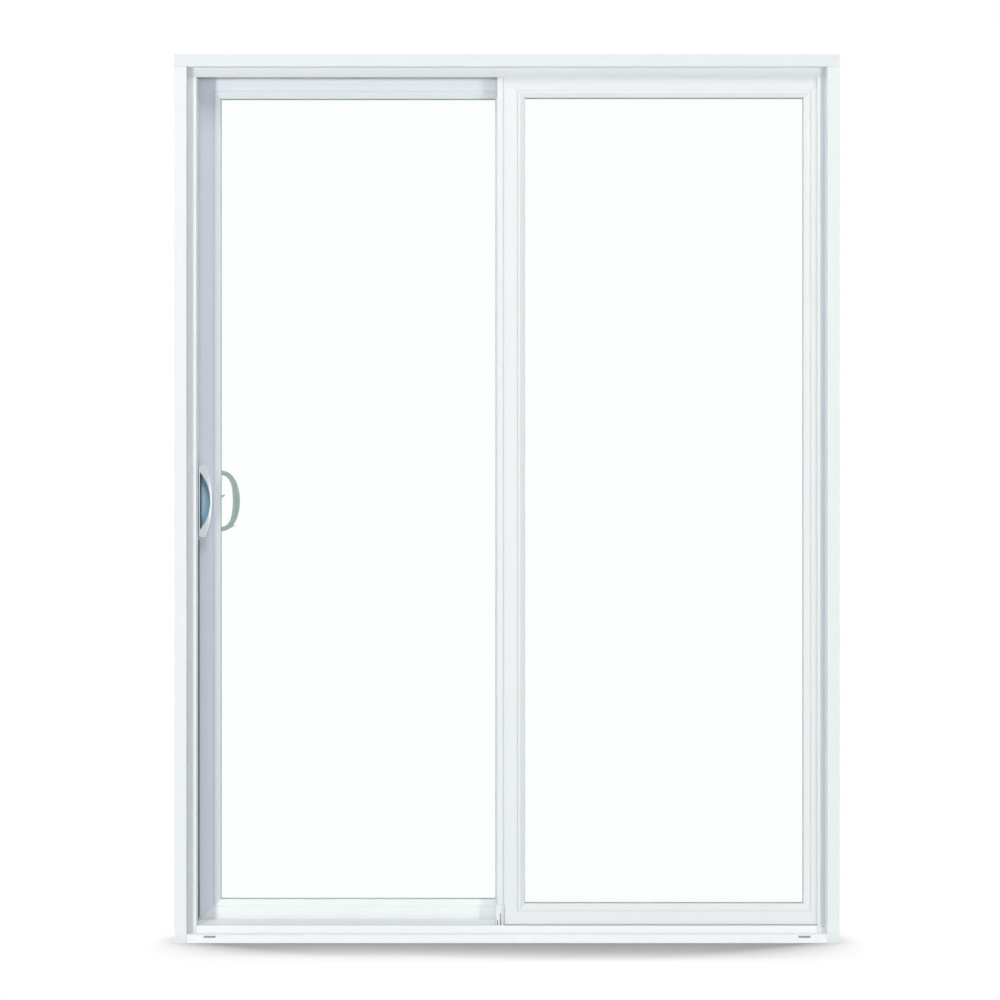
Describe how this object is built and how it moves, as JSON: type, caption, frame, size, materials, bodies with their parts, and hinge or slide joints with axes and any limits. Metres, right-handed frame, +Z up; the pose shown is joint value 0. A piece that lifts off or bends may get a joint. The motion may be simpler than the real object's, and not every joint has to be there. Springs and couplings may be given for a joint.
{
  "type": "glass sliding patio door",
  "caption": "White vinyl patio door with a fixed glass panel on the right and a sliding glass panel on the left, seen from outside.",
  "frame": {"origin": "middle of the sill's underside, half way through the frame's depth", "axes": "+X to the right seen from outside, +Y to the inside of the house, +Z up"},
  "size_m": [1.511, 0.151, 2.019],
  "materials": {
    "white_vinyl": "satin",
    "glass": "gloss",
    "spacer": "satin",
    "steel": "satin",
    "rail_aluminium": "satin",
    "nylon": "matte",
    "rubber": "matte",
    "handle_white": "satin"
  },
  "bodies": {
    "frame": {"head": "white_vinyl", "lock_jamb": "white_vinyl", "fixed_jamb": "white_vinyl", "sill": "white_vinyl", "weep_covers": "rubber", "lock_jamb_filler": "white_vinyl", "head_filler": "white_vinyl", "sill_filler": "white_vinyl", "lock_jamb_liner": "white_vinyl", "keeper": "steel", "roller_rail": "rail_aluminium", "open_stop": "rubber", "fixed_interlock_stile": "white_vinyl", "fixed_jamb_stile": "white_vinyl", "fixed_bottom_rail": "white_vinyl", "fixed_top_rail": "white_vinyl", "fixed_bead_left": "white_vinyl", "fixed_bead_right": "white_vinyl", "fixed_bead_bottom": "white_vinyl", "fixed_bead_top": "white_vinyl", "fixed_outer_pane": "glass", "fixed_inner_pane": "glass", "fixed_glass_spacer": "spacer", "fixed_interlock": "white_vinyl", "interlock_plug": "white_vinyl"},
    "sliding_panel": {"lock_stile": "white_vinyl", "sliding_interlock_stile": "white_vinyl", "sliding_bottom_rail": "white_vinyl", "sliding_top_rail": "white_vinyl", "sliding_bead_left": "white_vinyl", "sliding_bead_right": "white_vinyl", "sliding_bead_bottom": "white_vinyl", "sliding_bead_top": "white_vinyl", "sliding_outer_pane": "glass", "sliding_inner_pane": "glass", "sliding_glass_spacer": "spacer", "sliding_interlock": "white_vinyl", "roller_housings": "steel", "roller_wheels": "nylon", "lock_faceplate": "steel", "outside_pull": "handle_white", "handle_plate": "handle_white", "inside_grip": "handle_white"},
    "latch": {"latch_lever": "handle_white"}
  },
  "joints": [
    {"name": "panel_slide", "type": "slide", "parent": "frame", "child": "sliding_panel", "axis": [1, 0, 0], "range_m": [0, 0.64]},
    {"name": "latch_turn", "type": "hinge", "parent": "sliding_panel", "child": "latch", "pos_m": [-0.6818, 0.05, 1.0035], "axis": [0, 1, 0], "range_deg": [0, 70]}
  ]
}
